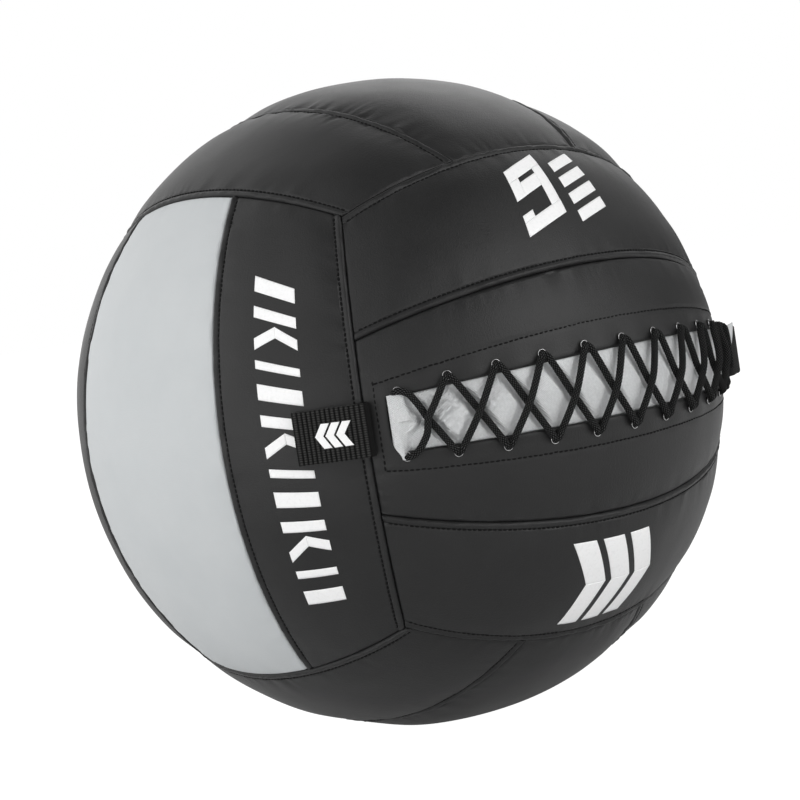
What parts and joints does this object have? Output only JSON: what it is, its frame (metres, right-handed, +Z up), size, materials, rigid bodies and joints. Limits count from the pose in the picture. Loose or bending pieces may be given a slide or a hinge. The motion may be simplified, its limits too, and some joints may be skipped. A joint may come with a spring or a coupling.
{
  "type": "wall ball",
  "caption": "Soft weighted exercise ball of sewn panels, laced shut over a cloth tongue, with two webbing loops that fold on the side seams.",
  "frame": {"origin": "middle of the flat on which the ball rests, under its centre", "axes": "+Z up, -Y out of the laced panel, -X out of the face with the silver panel"},
  "size_m": [0.35, 0.3559, 0.3495],
  "materials": {
    "black_skin": "satin coated cloth with fine grain",
    "silver_skin": "satin coated cloth with fine grain",
    "silver_cloth": "fine woven, slight sheen",
    "facing_cloth": "matte woven",
    "lace_cord": "braided",
    "webbing": "ribbed",
    "nickel": "polished",
    "foam": "open foam",
    "fibre": "loose textile fill",
    "canvas": "plain woven"
  },
  "bodies": {
    "ball": {"front_lower_panel": "black_skin", "front_middle_panel": "black_skin", "front_upper_panel": "black_skin", "back_lower_panel": "black_skin", "back_middle_panel": "black_skin", "back_upper_panel": "black_skin", "left_front_panel": "black_skin", "left_middle_panel": "silver_skin", "left_back_panel": "black_skin", "right_back_panel": "black_skin", "right_middle_panel": "black_skin", "right_front_panel": "black_skin", "top_right_panel": "black_skin", "top_middle_panel": "black_skin", "top_left_panel": "black_skin", "bottom_left_panel": "black_skin", "bottom_middle_panel": "black_skin", "bottom_right_panel": "black_skin", "slot_facing": "facing_cloth", "tongue": "silver_cloth", "lace": "lace_cord", "eyelet_upper_01": "nickel", "eyelet_upper_02": "nickel", "eyelet_upper_03": "nickel", "eyelet_upper_04": "nickel", "eyelet_upper_05": "nickel", "eyelet_upper_06": "nickel", "eyelet_upper_07": "nickel", "eyelet_upper_08": "nickel", "eyelet_upper_09": "nickel", "eyelet_upper_10": "nickel", "eyelet_upper_11": "nickel", "eyelet_lower_01": "nickel", "eyelet_lower_02": "nickel", "eyelet_lower_03": "nickel", "eyelet_lower_04": "nickel", "eyelet_lower_05": "nickel", "eyelet_lower_06": "nickel", "eyelet_lower_07": "nickel", "eyelet_lower_08": "nickel", "eyelet_lower_09": "nickel", "eyelet_lower_10": "nickel", "eyelet_lower_11": "nickel", "padding_upper": "foam", "padding_lower": "foam", "fill_upper": "fibre", "fill_lower": "fibre", "ballast_bag": "canvas"},
    "loop_left": {"tab_left": "webbing"},
    "loop_right": {"tab_right": "webbing"}
  },
  "joints": [
    {"name": "tab_left_fold", "type": "hinge", "parent": "ball", "child": "loop_left", "pos_m": [-0.12516, -0.12516, 0.1745], "axis": [0, 0, 1], "range_deg": [0, 100]},
    {"name": "tab_right_fold", "type": "hinge", "parent": "ball", "child": "loop_right", "pos_m": [0.12516, -0.12516, 0.1745], "axis": [0, 0, -1], "range_deg": [-16, 70]}
  ]
}
